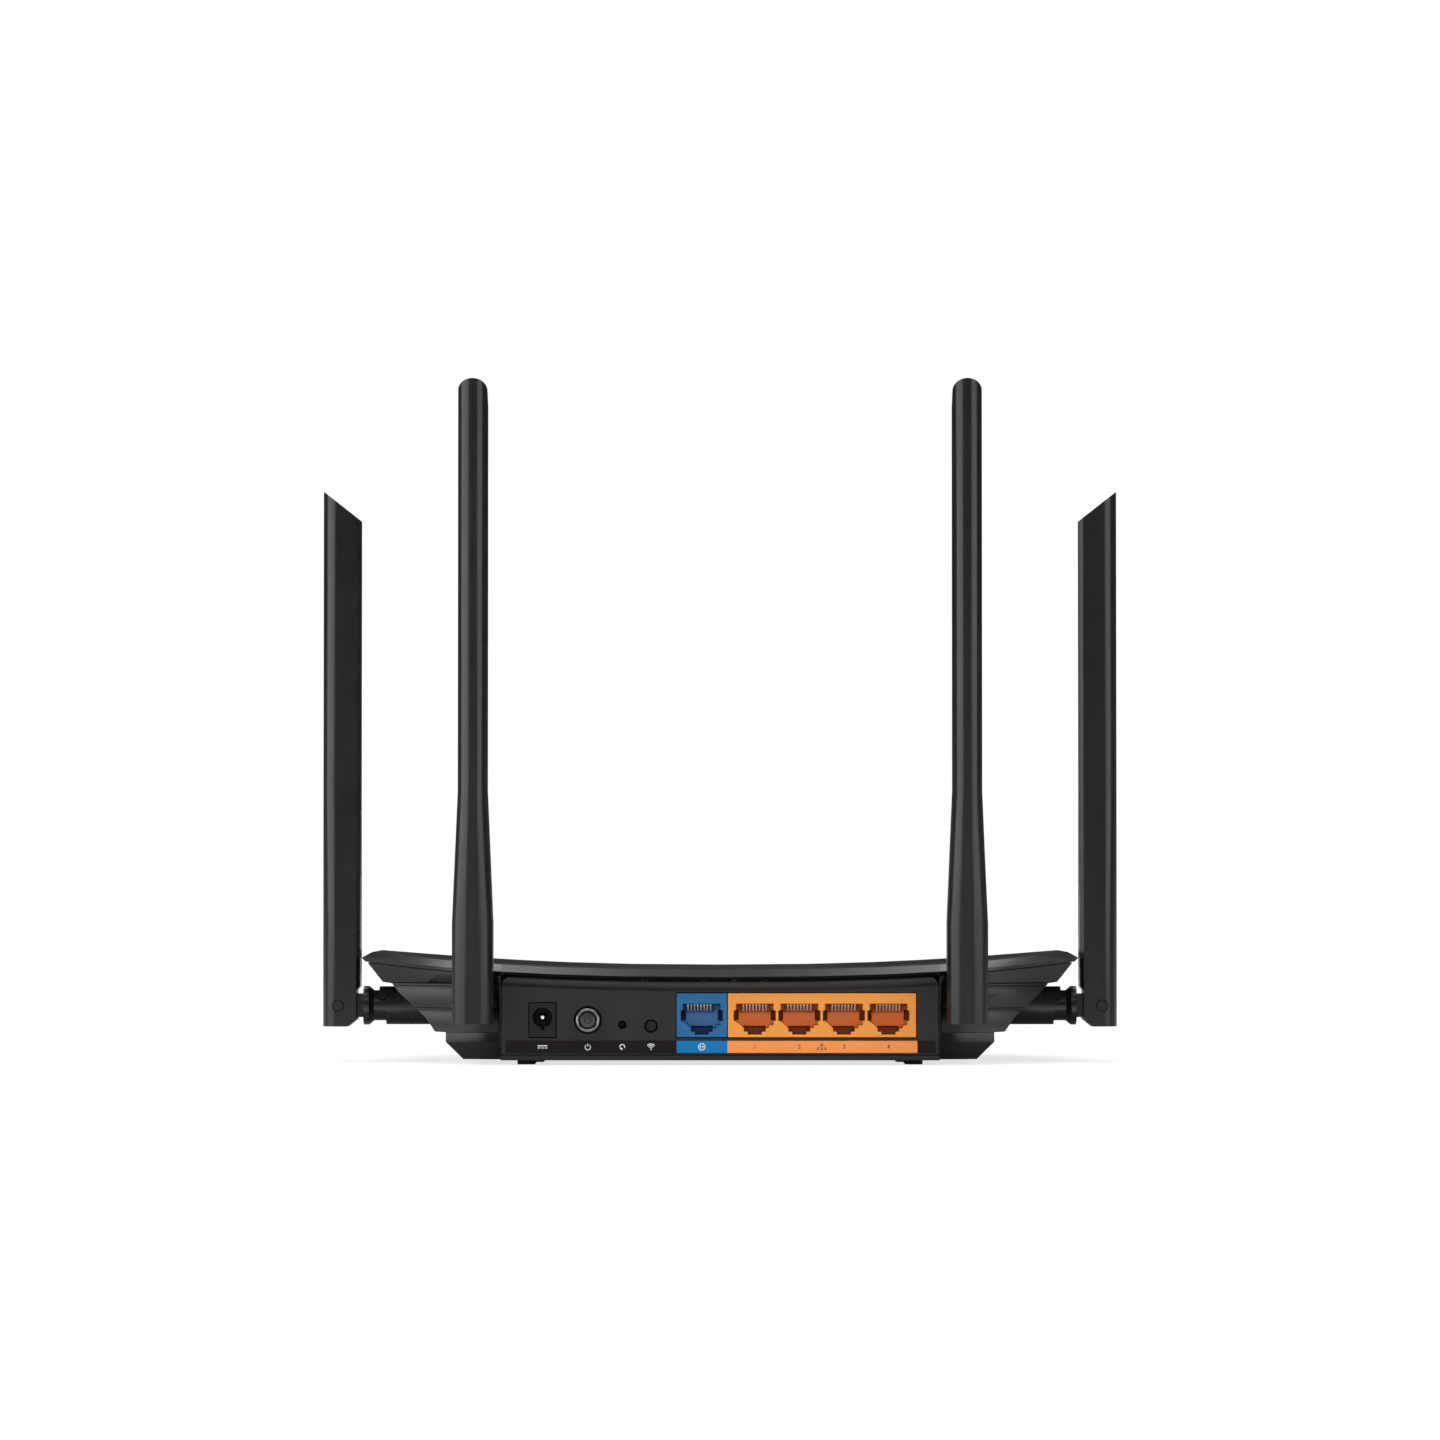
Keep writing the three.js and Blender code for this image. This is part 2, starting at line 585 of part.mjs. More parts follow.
function makePowerInlet() {
  const { x, z, half, z0, z1, hole, pin } = DC_JACK;
  const depth = 14;
  const well = 9.5;
  const shell = cut(box(x - half, x + half, PORT_FACE_Y, PORT_FACE_Y + depth, z0, z1), [
    bar(hole, PORT_FACE_Y - 1, PORT_FACE_Y + well, "y", [x, 0, z], 24),
    bar(pin + GAP, PORT_FACE_Y + well - 1, PORT_FACE_Y + depth + 1, "y", [x, 0, z], 12),
    box(x - 0.5, x + 0.5, PORT_FACE_Y - 1, PORT_FACE_Y + well, z - hole - 0.8, z - hole + 1),
  ]);
  place("power_inlet", shell, MATERIALS.chip);
  const [front, back] = [PORT_FACE_Y + 0.9, PORT_FACE_Y + depth];
  const rod = turned(
    [[0, front], [pin * 0.55, front], [pin, front + 0.6], [pin, back], [0, back]],
    "y", [x, 0, z], 12,
  );
  place("power_inlet_pin", rod, MATERIALS.steel);
}

// ---------------------------------------------------------------- buttons and their switches

function makeButtons() {
  // Latching power button: a round cap with a grooved face, on a stem that enters the switch.
  const face = PANEL_Y - 2.8;
  const { radius } = POWER;
  const cap = turned(
    [
      [0, face + 0.5], [2.2, face + 0.5], [2.45, face + 0.9], [2.75, face + 0.9], [3.0, face],
      [radius - 0.5, face], [radius, face + 0.5], [radius, PANEL_Y + 3.2],
      [1.5, PANEL_Y + 3.2], [1.5, PANEL_Y + 9], [0, PANEL_Y + 9],
    ],
    "y", [POWER.x, 0, POWER.z], 24,
  );
  place("power_button", cap, MATERIALS.button);
  const switchFace = PANEL_Y + 3.2 + POWER.travel + 0.6;
  const switchBody = box(
    POWER.x - 4, POWER.x + 4, switchFace, switchFace + 11, BOARD_TOP_Z + GAP, POWER.z + 4,
  ).subtract(bar(1.5 + GAP, switchFace - 1, PANEL_Y + 9 + POWER.travel + GAP, "y", [POWER.x, 0, POWER.z], 12));
  place("power_switch", switchBody, MATERIALS.chip);

  // Recessed reset plunger and the pairing button, each in front of a small board switch.
  const small = [
    ["reset", RESET, PANEL_Y + 3.2],
    ["pairing", PAIRING, PANEL_Y - 0.7],
  ];
  for (const [name, b, front] of small) {
    const back = PANEL_Y + 5;
    const plunger = turned(
      [[0, front], [b.radius - 0.3, front], [b.radius, front + 0.3], [b.radius, back], [0, back]],
      "y", [b.x, 0, b.z], 16,
    );
    place(`${name}_button`, plunger, MATERIALS.chip);
    const near = back + b.travel + GAP;
    const top = b.z + 2.6;
    place(`${name}_switch`, box(b.x - 3, b.x + 3, near, near + 4, BOARD_TOP_Z + GAP, top), MATERIALS.steel);
  }
}

// ---------------------------------------------------------------- circuit board

const BOARD = { half: 65, y0: PANEL_Y + PANEL_THICK + 0.6, y1: 46 };

function makeBoard() {
  const { half, y0, y1 } = BOARD;
  const holes = BOARD_SCREWS.map(([x, y]) => bar(1.4, 5, 10, "z", [x, y, 0], 12));
  const slab = box(-half, half, y0, y1, BOARD_TOP_Z - BOARD_THICK, BOARD_TOP_Z);
  place("main_board", cut(slab, holes), MATERIALS.board);
  BOARD_SCREWS.forEach(([x, y], i) => {
    const head = BOARD_TOP_Z + GAP;
    const screw = turned(
      [[0, 4.4], [1.0, 4.4], [1.0, head], [2.4, head], [2.4, head + 1], [1.4, head + 1.6], [0, head + 1.6]],
      "z", [x, y, 0], 12,
    );
    place(`board_screw_${["left", "right"][i]}`, screw, MATERIALS.steel);
  });
}

function makeBoardParts() {
  const on = BOARD_TOP_Z + GAP;
  const chip = (name, x, y, w, d, h, material = MATERIALS.chip) =>
    place(name, box(x - w / 2, x + w / 2, y - d / 2, y + d / 2, on, on + h), material);

  chip("processor", -2, 0, 16, 16, 1.4);
  chip("memory_chip", -26, 2, 12, 8, 1.2);
  chip("internet_transformer", -6, -38, 13, 11, 5.2);
  chip("ethernet_transformer", 32, -38, 26, 11, 5.2);

  // Finned heatsink glued on the processor.
  const base = on + 1.4 + GAP;
  const fins = Array.from({ length: 7 }, (_, i) => {
    const x = -14.5 + i * 4;
    return box(x, x + 1.2, -13, 13, base + 1, base + 9);
  });
  const plate = box(-14.5, 10.7, -13, 13, base, base + 1.5);
  place("heatsink", union([plate, ...fins]), MATERIALS.aluminium);

  // Radio shield: a thin tin can, open underneath.
  const can = box(24, 52, -16, 10, on, on + 3.2).subtract(box(24.5, 51.5, -15.5, 9.5, on - 1, on + 2.7));
  place("radio_shield", can, MATERIALS.aluminium);

  [[-46, -37], [-36.5, -37]].forEach(([x, y], i) => {
    const capacitor = turned(
      [[0, on], [3.6, on], [3.6, on + 1.2], [3.3, on + 1.6], [3.6, on + 2], [3.6, on + 11], [0, on + 11]],
      "z", [x, y, 0], 12,
    );
    place(`capacitor_${i + 1}`, capacitor, MATERIALS.chip);
  });
}

// ---------------------------------------------------------------- antennas

function bladeRing(halfWidth, w) {
  const depth = 4.6;
  const corner = 1.2;
  const steps = 14;
  const ring = [];
  for (let i = 0; i <= steps; i++) {
    const angle = Math.PI + (i / steps) * Math.PI;
    ring.push([halfWidth * Math.cos(angle), -SPINE + depth + depth * Math.sin(angle), w]);
  }
  ring.push([halfWidth, HEEL - corner, w], [halfWidth - corner, HEEL, w]);
  ring.push([corner - halfWidth, HEEL, w], [-halfWidth, HEEL - corner, w]);
  return ring;
}

// A rivet through fork and tongue, with a wider head at each end.
const PIN = { shank: 1.3, head: 1.75, shoulder: 4.6, end: 6.2, play: 0.25 };

function pinSolid() {
  const { shank, head, shoulder, end } = PIN;
  return turned(
    [
      [0, -end], [head, -end], [head, -shoulder], [shank, -shoulder],
      [shank, shoulder], [head, shoulder], [head, end], [0, end],
    ],
    "x", [0, 0, 0], 20,
  );
}

function pinHole() {
  const { shank, head, shoulder, play } = PIN;
  const step = shoulder - play;
  return [
    bar(shank + play, -9, 9, "x", [0, 0, 0], 20),
    bar(head + play, -9, -step, "x", [0, 0, 0], 20),
    bar(head + play, step, 9, "x", [0, 0, 0], 20),
  ];
}

// The hollow blade, with a fork at its foot that straddles the knuckle's tongue.
function bladeSolid(top) {
  const middle = (TAPER_START + TAPER_END) / 2;
  const whole = loft([
    bladeRing(BLADE_HALF_LOW, -FOOT_DROP),
    bladeRing(BLADE_HALF_LOW, TAPER_START),
    bladeRing((BLADE_HALF_LOW + BLADE_HALF_HIGH) / 2 - 0.05, middle),
    bladeRing(BLADE_HALF_HIGH, TAPER_END),
    bladeRing(BLADE_HALF_HIGH, top),
  ]);
  const slant = shapeOf([
    [-SPINE - 1, top + TIP_SLANT / 12], [HEEL + 1, top - TIP_SLANT - TIP_SLANT / 12],
    [HEEL + 1, top + 5], [-SPINE - 1, top + 5],
  ]);
  const fork = new THREE.Shape();
  fork.moveTo(9, 4);
  fork.lineTo(0, 4);
  fork.absarc(0, 0, 4, Math.PI / 2, Math.PI, false);
  fork.lineTo(-4, -9);
  fork.lineTo(9, -9);
  const relief = shapeOf([[9, 6.4], [7.2, 6.4], [6, 4.8], [6, -4.4], [3, -6.8], [3, -9], [9, -9]]);
  return cut(whole, [
    prismX(slant, -9, 9),
    prismX(fork, -3.2, 3.2),
    prismX(relief, -9, 9),
    ...pinHole(),
    bar(2.5, 2, top - 24, "z", [0, 1, 0], 12),
  ]);
}

// The knuckle: tongue, collar, and a neck that turns in the case's boss and snaps behind it.
function knuckleSolid(neckEnd) {
  const tongue = new THREE.Shape();
  tongue.moveTo(8.4, 3.75);
  tongue.lineTo(0, 3.75);
  tongue.absarc(0, 0, 3.75, Math.PI / 2, 1.5 * Math.PI, false);
  tongue.lineTo(8.4, -3.75);
  const neck = turned(
    [
      [0, 8], [6.2, 8], [6.2, 9.8], [4.85, 11.4], [4.85, neckEnd],
      [5.5, neckEnd + 0.4], [5.5, neckEnd + 1], [4.5, neckEnd + 2], [0, neckEnd + 2],
    ],
    "y", [0, 0, 0], 18,
  );
  return cut(neck.add(prismX(tongue, -2.9, 2.9)), [
    bar(PIN.shank + PIN.play, -9, 9, "x", [0, 0, 0], 20),
    bar(1.4, 10, neckEnd + 4, "y", [0, 0, 0], 10),
  ]);
}

// The sleeve aerial inside the blade: feed line, brass sleeve and thin upper wire.
function aerialSolid(top) {
  const end = top - 30;
  return turned(
    [[0, 7], [0.8, 7], [0.8, 30], [2.0, 30], [2.0, 62], [0.6, 62], [0.6, end], [0, end]],
    "z", [0, 1, 0], 6,
  );
}

const ANTENNAS = [
  { name: "rear_left", at: [-REAR_PIVOT.x, REAR_PIVOT.y, REAR_PIVOT.z], turn: 0, top: REAR_BLADE_TOP },
  { name: "rear_right", at: [REAR_PIVOT.x, REAR_PIVOT.y, REAR_PIVOT.z], turn: 0, top: REAR_BLADE_TOP },
  { name: "side_left", at: [-SIDE_PIVOT.x, SIDE_PIVOT.y, SIDE_PIVOT.z], turn: -Math.PI / 2, top: SIDE_BLADE_TOP },
  { name: "side_right", at: [SIDE_PIVOT.x, SIDE_PIVOT.y, SIDE_PIVOT.z], turn: Math.PI / 2, top: SIDE_BLADE_TOP },
];

function makeAntennas() {
  const rearNeck = REAR_BOSS.inner - REAR_PIVOT.y + GAP;
  const sideNeck = SIDE_PIVOT.x - SIDE_BOSS.inner + GAP;
  for (const { name, at, turn, top } of ANTENNAS) {
    const group = new THREE.Group();
    group.position.set(...at);
    group.rotation.z = turn;
    router.add(group);
    place(`knuckle_${name}`, knuckleSolid(turn === 0 ? rearNeck : sideNeck), MATERIALS.antenna, group);
    place(`antenna_${name}`, bladeSolid(top), MATERIALS.antenna, group);
    place(`hinge_pin_${name}`, pinSolid(), MATERIALS.antenna, group);
    place(`aerial_${name}`, aerialSolid(top), MATERIALS.gold, group);
  }
}

// ---------------------------------------------------------------- antenna leads inside the case

const LEAD_RADIUS = 0.65;

function lead(points) {
  const path = new THREE.CatmullRomCurve3(points.map((p) => new THREE.Vector3(...p)), false, "centripetal");
  const section = new THREE.Shape();
  section.absarc(0, 0, LEAD_RADIUS, 0, 2 * Math.PI, false);
  const geometry = new THREE.ExtrudeGeometry(section, {
    steps: 14, extrudePath: path, bevelEnabled: false, curveSegments: 3,
  });
  return solid(geometry);
}

function makeLeads() {
  const on = BOARD_TOP_Z + 1.2;
  for (const [side, word] of [[-1, "left"], [1, "right"]]) {
    const s = (x) => side * x;
    const rearEntry = REAR_BOSS.inner;
    place(`antenna_lead_rear_${word}`, lead([
      [s(REAR_PIVOT.x), rearEntry - 2, REAR_PIVOT.z],
      [s(REAR_PIVOT.x), rearEntry + 3.2, REAR_PIVOT.z],
      [s(REAR_PIVOT.x - 4), rearEntry + 5.6, 18.2],
      [s(65), rearEntry + 5.4, 13],
      [s(57), -32, on], [s(55), -25, on],
    ]), MATERIALS.cable);
    place(`antenna_lead_side_${word}`, lead([
      [s(SIDE_BOSS.inner + 2), SIDE_PIVOT.y, SIDE_PIVOT.z],
      [s(SIDE_BOSS.inner - 5), SIDE_PIVOT.y, SIDE_PIVOT.z],
      [s(78), SIDE_PIVOT.y + 4, 16],
      [s(70), -12, 11.5],
      [s(62), -9, on], [s(55.5), -8, on],
    ]), MATERIALS.cable);
  }
}

// ---------------------------------------------------------------- build

makeTopCover();
makeIndicators();
makeBottomCase();
makeFeet();
makeCaseScrews();
makeRearPanel();
makeLabelStrip();
makeNetworkJacks();
makePowerInlet();
makeButtons();
makeBoard();
makeBoardParts();
makeAntennas();
makeLeads();

export default router;
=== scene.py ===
"""A four-antenna wireless router seen from its port side, on a plain pale floor."""

import math

import bmesh
import bpy
from mathutils import Matrix, Vector


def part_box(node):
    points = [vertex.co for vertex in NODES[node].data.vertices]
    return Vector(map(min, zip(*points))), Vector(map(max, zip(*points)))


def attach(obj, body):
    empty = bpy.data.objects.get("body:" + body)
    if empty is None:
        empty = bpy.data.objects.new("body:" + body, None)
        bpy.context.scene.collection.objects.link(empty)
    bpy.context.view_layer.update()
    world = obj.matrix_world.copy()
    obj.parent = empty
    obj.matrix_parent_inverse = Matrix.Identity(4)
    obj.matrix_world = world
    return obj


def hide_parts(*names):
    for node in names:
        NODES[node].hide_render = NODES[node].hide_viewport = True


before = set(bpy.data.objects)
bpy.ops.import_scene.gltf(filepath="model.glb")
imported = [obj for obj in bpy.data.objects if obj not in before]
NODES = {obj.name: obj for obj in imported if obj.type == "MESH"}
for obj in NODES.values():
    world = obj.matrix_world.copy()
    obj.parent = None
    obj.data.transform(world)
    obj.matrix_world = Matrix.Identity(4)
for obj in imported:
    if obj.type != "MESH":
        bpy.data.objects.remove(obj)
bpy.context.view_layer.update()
MM = 0.001
SIDES = ["rear_left", "rear_right", "side_left", "side_right"]
CORNERS = ["rear_left", "rear_right", "front_left", "front_right"]
PORTS = range(1, 5)


# ------------------------------------------------------------------ materials

NOISE_ROUGHNESS = 0.55
NOISE_BAND = (0.3, 0.7)  # nearly all values of a noise texture lie in this band
TONE_BAND = (0.35, 0.65)  # where a material's darker and lighter tones are reached
TONE_SCALE = 34
GLOSS_SCALE = 95
WAVE_SCALE = 28
GRAIN_DEPTH = 0.03 * MM
WAVE_DEPTH = 0.4 * MM


class Graph:
    """A new material, with short calls that add nodes to its tree."""

    def __init__(self, name, color, roughness, metallic=0.0, **sockets):
        self.mat = bpy.data.materials.new(name)
        self.mat.use_nodes = True
        self.nodes = self.mat.node_tree.nodes
        self.links = self.mat.node_tree.links
        self.shader = self.nodes["Principled BSDF"]
        self.shader.inputs["Base Color"].default_value = (*color, 1)
        self.shader.inputs["Roughness"].default_value = roughness
        self.shader.inputs["Metallic"].default_value = metallic
        for key, value in sockets.items():
            self.shader.inputs[key.replace("_", " ")].default_value = value
        coords = self.nodes.new("ShaderNodeTexCoord")
        self.place = coords.outputs["Object"]

    def node(self, kind, **inputs):
        made = self.nodes.new(kind)
        for key, value in inputs.items():
            socket = made.inputs[key.replace("_", " ")]
            if isinstance(value, bpy.types.NodeSocket):
                self.links.new(value, socket)
            else:
                socket.default_value = value
        return made

    def noise(self, scale, detail, vector=None):
        made = self.node("ShaderNodeTexNoise", Vector=vector or self.place, Scale=scale, Detail=detail)
        made.inputs["Roughness"].default_value = NOISE_ROUGHNESS
        return made.outputs["Fac"]

    def stretched(self, factors):
        return self.node("ShaderNodeMapping", Vector=self.place, Scale=factors).outputs["Vector"]

    def roughness(self, value, low, high):
        made = self.node("ShaderNodeMapRange", Value=value)
        limits = {"From Min": NOISE_BAND[0], "From Max": NOISE_BAND[1], "To Min": low, "To Max": high}
        for socket, limit in limits.items():
            made.inputs[socket].default_value = limit
        self.links.new(made.outputs["Result"], self.shader.inputs["Roughness"])

    def bump(self, *layers):
        """Each layer is (height, strength, distance in metres)."""
        normal = None
        for height, strength, distance in layers:
            made = self.node("ShaderNodeBump", Height=height, Strength=strength, Distance=distance)
            if normal is not None:
                self.links.new(normal, made.inputs["Normal"])
            normal = made.outputs["Normal"]
        self.links.new(normal, self.shader.inputs["Normal"])

    def mix_color(self, value, dark, light):
        made = self.node("ShaderNodeValToRGB", Fac=value)
        for stop, position, color in zip(made.color_ramp.elements, TONE_BAND, (dark, light)):
            stop.color = (*color, 1)
            stop.position = position
        self.links.new(made.outputs["Color"], self.shader.inputs["Base Color"])


def moulded(name, color, low, high, grain=2600, strength=0.35, spread=0.12, wave=0.06, **sockets):
    """Moulded plastic: a fine spark-eroded grain, handling marks in its gloss and a faint change of tone."""
    g = Graph(name, color, (low + high) / 2, **sockets)
    g.mix_color(g.noise(TONE_SCALE, 2), [c * (1 - spread) for c in color], [c * (1 + spread) for c in color])
    g.roughness(g.noise(GLOSS_SCALE, 4), low, high)
    g.bump((g.noise(grain, 2), strength, GRAIN_DEPTH), (g.noise(WAVE_SCALE, 1), wave, WAVE_DEPTH))
    return g.mat


def metal(name, color, low, high, stretch, grain=1400, strength=0.12, metallic=1.0):
    """Metal with fine drawn or brushed lines that run along the axes whose stretch is 1."""
    g = Graph(name, color, (low + high) / 2, metallic=metallic)
    lines = g.noise(grain, 3, g.stretched(stretch))
    g.roughness(lines, low, high)
    g.mix_color(g.noise(60, 3), [c * 0.9 for c in color], [min(1, c * 1.06) for c in color])
    g.bump((lines, strength, GRAIN_DEPTH))
    return g.mat


def circuit_board():
    """Green solder mask over a pattern of angular tracks."""
    g = Graph("circuit_board", (0.008, 0.06, 0.022), 0.35)
    tracks = g.node("ShaderNodeTexVoronoi", Vector=g.place, Scale=260)
    tracks.distance = "MANHATTAN"
    g.mix_color(tracks.outputs["Distance"], (0.012, 0.085, 0.03), (0.006, 0.045, 0.018))
    g.roughness(g.noise(200, 3), 0.28, 0.45)
    g.bump((tracks.outputs["Distance"], 0.2, 0.1 * MM))
    return g.mat


DULL = {"Specular_IOR_Level": 0.27}  # the plastics mirror less than the usual 0.5
DULLER = {"Specular_IOR_Level": 0.15}
SOCKET = {"grain": 2400, "strength": 0.2}
# settings of the darker socket copies, which carry painted shade
SOCKET_PAINTED_SHADE = {"grain": 2400, "strength": 0.1, "spread": 0.05, **DULL}
LABEL = {"grain": 1500, "strength": 0.1}
PRINT = {"grain": 1800, "strength": 0.1, "spread": 0.02}

# colour, lowest and highest roughness, and the rest of moulded()
PLASTICS = {
    "cover": ((0.0045, 0.0045, 0.0047), 0.2, 0.24, dict(grain=3400, strength=0.03, wave=0.01, **DULL)),
    "case": ((0.0055, 0.0055, 0.0057), 0.26, 0.31, dict(grain=2300, strength=0.06, wave=0.02, **DULL)),
    "panel": ((0.0092, 0.0092, 0.0095), 0.36, 0.42, dict(grain=2300, strength=0.06, wave=0.02, **DULL)),
    "antenna": ((0.0055, 0.0055, 0.0058), 0.23, 0.28, dict(grain=2500, strength=0.03, wave=0.015, **DULL)),
    "black": ((0.006, 0.006, 0.0062), 0.4, 0.5, dict(strength=0.15, **DULL)),
    "inlet": ((0.006, 0.0057, 0.006), 0.4, 0.5, dict(strength=0.2, Specular_IOR_Level=0.2)),
    "cap": ((0.008, 0.008, 0.0082), 0.6, 0.7, dict(grain=2400, strength=0.06, **DULLER)),
    "rubber": ((0.006, 0.006, 0.006), 0.7, 0.85, dict(grain=1900, strength=0.5)),
    "cable": ((0.035, 0.035, 0.037), 0.35, 0.5, dict(grain=900, strength=0.2)),
    "window": ((0.004, 0.004, 0.0045), 0.06, 0.1, dict(grain=900, strength=0.03)),
    "light_guide": ((0.72, 0.75, 0.78), 0.08, 0.16, dict(grain=700, strength=0.05, spread=0.03)),
    "blue": ((0.0045, 0.067, 0.168), 0.4, 0.5, dict(spread=0.05, **SOCKET, **DULL)),
    # painted light: a paler copy for the walls deep in the socket
    "blue_deep": ((0.037, 0.19, 0.51), 0.4, 0.5, dict(spread=0.04, **SOCKET)),
    # painted shade: a darker copy for the slot ends and contact blocks
    "blue_dark": ((0.012, 0.045, 0.2), 0.5, 0.6, SOCKET_PAINTED_SHADE),
    "orange": ((0.46, 0.168, 0.024), 0.4, 0.5, dict(spread=0.04, **SOCKET, **DULL)),
    # painted light: a paler copy for the walls deep in the socket
    "orange_deep": ((0.85, 0.19, 0.012), 0.4, 0.5, dict(spread=0.03, **SOCKET)),
    # painted shade: a darker copy for the slot ends and contact blocks
    "orange_dark": ((0.3, 0.055, 0.012), 0.5, 0.6, SOCKET_PAINTED_SHADE),
    "label_black": ((0.0052, 0.0036, 0.0031), 0.3, 0.38, dict(Specular_IOR_Level=0.12, **LABEL)),
    "label_blue": ((0.0004, 0.094, 0.252), 0.34, 0.42, dict(spread=0.03, **LABEL, **DULLER)),
    "label_orange": ((0.5, 0.16, 0.036), 0.34, 0.42, dict(spread=0.03, **LABEL, **DULL)),
    "print_white": ((0.6, 0.6, 0.59), 0.4, 0.5, PRINT),
    "print_brown": ((0.09, 0.028, 0.01), 0.4, 0.5, PRINT),
}

# colour, lowest and highest roughness, stretch of the lines, and the rest of metal()
METALS = {
    "gold": ((1.0, 0.9, 0.72), 0.45, 0.6, (12, 1, 12), dict(metallic=0.35)),
    "steel": ((0.52, 0.53, 0.55), 0.24, 0.4, (1, 1, 20), {}),
    "bright_steel": ((0.85, 0.86, 0.88), 0.1, 0.2, (20, 1, 20), {}),
    "button": ((0.22, 0.22, 0.225), 0.2, 0.26, (1, 14, 1), dict(grain=1800, strength=0.04)),
    "button_middle": ((0.085, 0.085, 0.087), 0.34, 0.4, (1, 14, 1), dict(grain=1800, strength=0.02)),
    "aluminium": ((0.68, 0.69, 0.71), 0.3, 0.45, (1, 14, 1), {}),
}

MATS = {name: moulded(name, *values, **rest) for name, (*values, rest) in PLASTICS.items()}
MATS.update({name: metal(name, *values, **rest) for name, (*values, rest) in METALS.items()})
MATS["board"] = circuit_board()

# material and width of the rounded edges in millimetres
CAD_FINISH = {
    "top_cover": ("cover", 0.35),
    "indicator_window": ("window", 0.15),
    "light_guide": ("light_guide", 0.1),
    "bottom_case": ("case", 0.3),
    "rear_panel": ("panel", 0.06),
    "internet_jack": ("blue", 0.12),
    "ethernet_jack": ("orange", 0.12),
    "power_inlet": ("inlet", 0.12),
    "power_inlet_pin": ("bright_steel", 0.1),
    "power_switch": ("black", 0.15),
    "reset_button": ("rubber", 0.1),
    "reset_switch": ("black", 0.15),
    "pairing_button": ("cap", 0.06),
    "pairing_switch": ("black", 0.15),
    "main_board": ("board", 0.1),
    "processor": ("black", 0.1),
    "memory_chip": ("black", 0.1),
    "internet_transformer": ("black", 0.3),
    "ethernet_transformer": ("black", 0.3),
    "heatsink": ("aluminium", 0.12),
    "radio_shield": ("aluminium", 0.12),
    "capacitor_1": ("black", 0.15),
    "capacitor_2": ("black", 0.15),
    "board_screw_left": ("steel", 0.1),
    "board_screw_right": ("steel", 0.1),
    "internet_contacts": ("gold", 0.06),
    "power_button": ("button", 0.12),
}
for corner in CORNERS:
    CAD_FINISH[f"foot_{corner}"] = ("rubber", 0.25)
    CAD_FINISH[f"case_screw_{corner}"] = ("steel", 0.12)
for port in PORTS:
    CAD_FINISH[f"ethernet_contacts_{port}"] = ("gold", 0.06)
for side in SIDES:
    CAD_FINISH[f"knuckle_{side}"] = ("antenna", 0.2)
    CAD_FINISH[f"antenna_{side}"] = ("antenna", 0.3)
    CAD_FINISH[f"hinge_pin_{side}"] = ("antenna", 0.15)
    CAD_FINISH[f"aerial_{side}"] = ("gold", 0.05)
    CAD_FINISH[f"antenna_lead_{side}"] = ("cable", 0.05)


# ------------------------------------------------------------------ mesh helpers

WELD = 0.01 * MM
FLAT_ANGLE = math.radians(0.6)
SHARP_ANGLE = math.radians(25)
BEVEL_SEGMENTS = 3


def smooth_edges(obj, width):
    """Welds the facets, joins the flat ones, rounds the sharp edges and smooths the rest."""
    mesh = obj.data
    if "custom_normal" in mesh.attributes:
        mesh.attributes.remove(mesh.attributes["custom_normal"])
    for polygon in mesh.polygons:
        polygon.use_smooth = True
    weld = obj.modifiers.new("weld", "WELD")
    weld.merge_threshold = WELD
    flat = obj.modifiers.new("flat", "DECIMATE")
    flat.decimate_type = "DISSOLVE"
    flat.angle_limit = FLAT_ANGLE
    bevel = obj.modifiers.new("bevel", "BEVEL")
    bevel.width = width * MM
    bevel.segments = BEVEL_SEGMENTS
    bevel.limit_method = "ANGLE"
    bevel.angle_limit = SHARP_ANGLE
    bevel.use_clamp_overlap = True
    bevel.harden_normals = True
    bevel.miter_outer = "MITER_ARC"


def piece(name, mesh, materials, body):
    """A new object with the given materials, riding on a body of the frame."""
    obj = bpy.data.objects.new(name, mesh)
    bpy.context.scene.collection.objects.link(obj)
    for m in materials:
        mesh.materials.append(MATS[m])
    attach(obj, body)
    return obj


def mesh_from(name, bm):
    """A mesh with the shape of bm, which is freed."""
    mesh = bpy.data.meshes.new(name)
    bm.to_mesh(mesh)
    bm.free()
    return mesh


# ------------------------------------------------------------------ carried-over parts

for node_name, (mat_name, edge) in CAD_FINISH.items():
    part = NODES[node_name]
    part.data.materials.clear()
    part.data.materials.append(MATS[mat_name])
    smooth_edges(part, edge)

# the dished cover is shaded as one soft curve up to its edges, whatever its facets are
cover = NODES["top_cover"]
cover.modifiers["bevel"].harden_normals = False
cover.modifiers.new("normals", "WEIGHTED_NORMAL").keep_sharp = True


# ------------------------------------------------------------------ printed strip and sockets

ORANGE_LEFT_MARGIN = 0.15 * MM
ORANGE_RIGHT_MARGIN = 0.4 * MM
INSERT_DEPTH = 2.6 * MM  # the moulded block at the back of each contact set
SOCKET_LIP = 1 * MM  # a wall that faces the plugs and lies no deeper is part of the socket's face
PLUG_SPACE = 13 * MM  # one that lies deeper than this is the end of a slot


